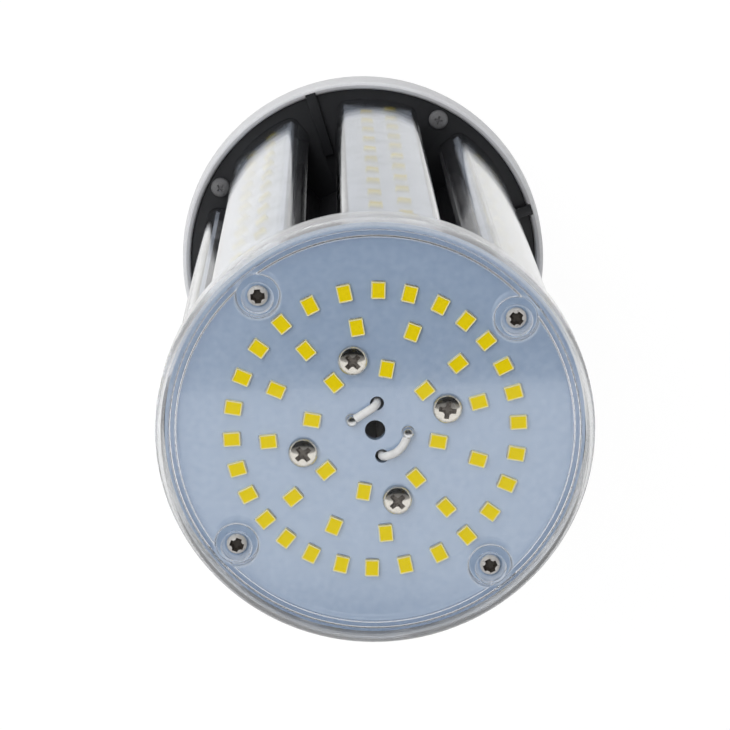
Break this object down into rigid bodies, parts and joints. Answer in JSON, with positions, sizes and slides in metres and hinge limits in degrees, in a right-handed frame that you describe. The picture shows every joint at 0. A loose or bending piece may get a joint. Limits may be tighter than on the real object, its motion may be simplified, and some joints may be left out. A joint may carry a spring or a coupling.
{
  "type": "led corn lamp",
  "caption": "Corn lamp with LED strips under clear covers round a black finned heat sink, an LED disc under a clear cap, a pale driver housing and a mogul screw base.",
  "frame": {"origin": "on the lamp's axis, where the screw shell meets the housing's neck", "axes": "+Z along the axis from the screw base to the lit end; +X through the middle of column 1"},
  "size_m": [0.0874, 0.0874, 0.2477],
  "materials": {
    "plated_shell": "nickel plated, satin",
    "black_insulator": "glossy black",
    "contact_metal": "plated, satin",
    "housing_plastic": "pale moulded plastic, satin",
    "dark_plate": "black anodised",
    "black_heat_sink": "black anodised, drawn along its length",
    "steel_screw": "zinc plated",
    "bright_screw": "bright zinc plated",
    "pale_board": "pale solder mask, satin",
    "led_package": "yellow phosphor in a cream frame",
    "white_wire": "white insulation",
    "solder": "bright solder",
    "clear_cap": "clear, polished",
    "clear_cover": "clear, polished",
    "driver_laminate": "green laminate",
    "ferrite": "dark ferrite",
    "capacitor_sleeve": "dark sleeve",
    "film_case": "amber case",
    "black_epoxy": "moulded epoxy",
    "varistor_coat": "blue coating",
    "fuse_glass": "clear glass body"
  },
  "bodies": {
    "root": {"screw_shell": "plated_shell", "base_insulator": "black_insulator", "center_contact": "contact_metal", "driver_housing": "housing_plastic", "shell_holder": "housing_plastic", "mounting_plate": "dark_plate", "housing_screws": "steel_screw", "heat_sink_screws": "steel_screw", "heat_sink": "black_heat_sink", "led_disc": "pale_board", "disc_leds": "led_package", "disc_screws": "bright_screw", "positive_lead": "white_wire", "negative_lead": "white_wire", "solder_joints": "solder", "front_cap": "clear_cap", "cap_screws": "steel_screw", "driver_board": "driver_laminate", "board_screws": "steel_screw", "strip_leads": "white_wire", "transformer": "ferrite", "bulk_capacitor": "capacitor_sleeve", "output_capacitor": "capacitor_sleeve", "filter_choke": "ferrite", "film_capacitor": "film_case", "bridge_rectifier": "black_epoxy", "power_transistor": "black_epoxy", "varistor": "varistor_coat", "fuse": "fuse_glass", "live_lead": "white_wire", "neutral_lead": "white_wire", "strip_board_1": "pale_board", "strip_leds_1": "led_package", "strip_cover_1": "clear_cover", "strip_board_2": "pale_board", "strip_leds_2": "led_package", "strip_cover_2": "clear_cover", "strip_board_3": "pale_board", "strip_leds_3": "led_package", "strip_cover_3": "clear_cover", "strip_board_4": "pale_board", "strip_leds_4": "led_package", "strip_cover_4": "clear_cover", "strip_board_5": "pale_board", "strip_leds_5": "led_package", "strip_cover_5": "clear_cover", "strip_board_6": "pale_board", "strip_leds_6": "led_package", "strip_cover_6": "clear_cover", "strip_board_7": "pale_board", "strip_leds_7": "led_package", "strip_cover_7": "clear_cover", "strip_board_8": "pale_board", "strip_leds_8": "led_package", "strip_cover_8": "clear_cover"}
  },
  "joints": []
}
